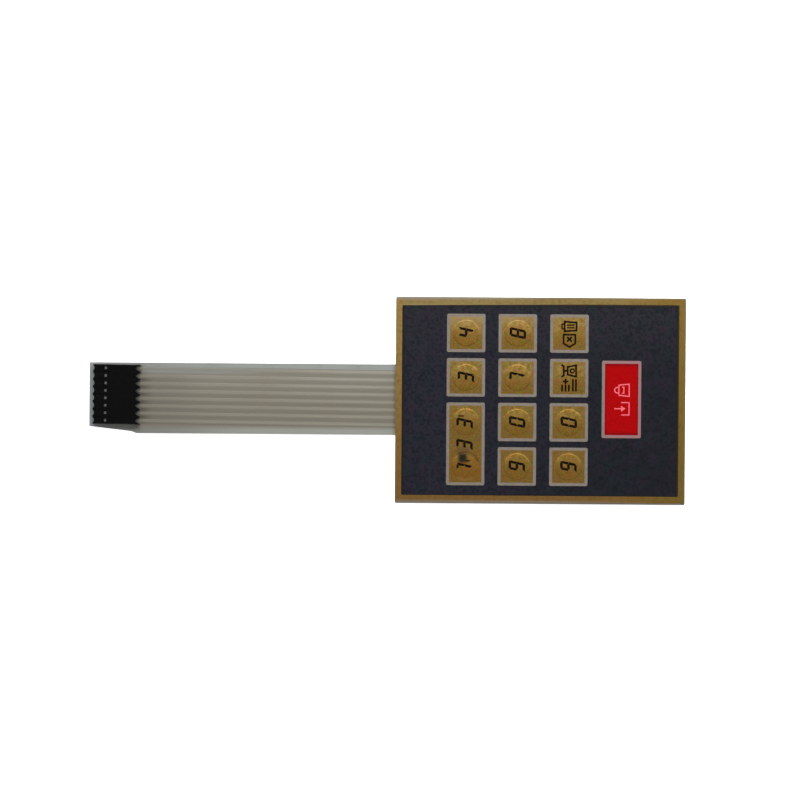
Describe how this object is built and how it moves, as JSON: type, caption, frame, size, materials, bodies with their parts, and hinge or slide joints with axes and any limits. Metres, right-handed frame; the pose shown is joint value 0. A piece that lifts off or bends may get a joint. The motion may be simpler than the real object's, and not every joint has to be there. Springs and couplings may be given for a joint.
{
  "type": "membrane keypad",
  "caption": "Flat membrane keypad with gold keys on a dark panel, a tall key, a red key, and a ribbon tail that ends in a crimped pin receptacle.",
  "frame": {"origin": "centre of the panel's back face, on the release liner", "axes": "+X along the object, away from the tail; +Y to the first row of keys; +Z out of the keyed face"},
  "size_m": [0.2032, 0.0704, 0.003],
  "materials": {
    "liner_paper": "matt",
    "adhesive": "satin",
    "film": "satin, slightly milky",
    "silver_ink": "satin silver ink",
    "cover_film": "satin",
    "spacer_film": "satin",
    "clear_film": "clear",
    "overlay_film": "fine textured",
    "gold_print": "metallic ink, satin",
    "grey_print": "matt ink",
    "key_gold_print": "metallic ink, satin",
    "red_print": "matt ink",
    "dome_steel": "polished",
    "housing": "moulded, satin",
    "contact_metal": "tin plated"
  },
  "bodies": {
    "root": {"release_liner": "liner_paper", "rear_adhesive": "adhesive", "circuit_film": "film", "circuit_traces": "silver_ink", "tail_cover": "cover_film", "dome_spacer": "spacer_film", "dome_retainer": "clear_film", "overlay_adhesive": "adhesive", "graphic_overlay": "overlay_film", "border_print": "gold_print", "key_outlines": "grey_print", "key_faces": "key_gold_print", "red_key_face": "red_print", "dome_1_1": "dome_steel", "dome_1_2": "dome_steel", "dome_1_3": "dome_steel", "dome_1_4": "dome_steel", "dome_2_1": "dome_steel", "dome_2_2": "dome_steel", "dome_2_3": "dome_steel", "dome_2_4": "dome_steel", "dome_3_1": "dome_steel", "dome_3_2": "dome_steel", "dome_3_3": "dome_steel", "dome_3_4": "dome_steel", "dome_red": "dome_steel", "receptacle_housing": "housing", "contact_1": "contact_metal", "contact_2": "contact_metal", "contact_3": "contact_metal", "contact_4": "contact_metal", "contact_5": "contact_metal", "contact_6": "contact_metal", "contact_7": "contact_metal", "contact_8": "contact_metal"}
  },
  "joints": []
}
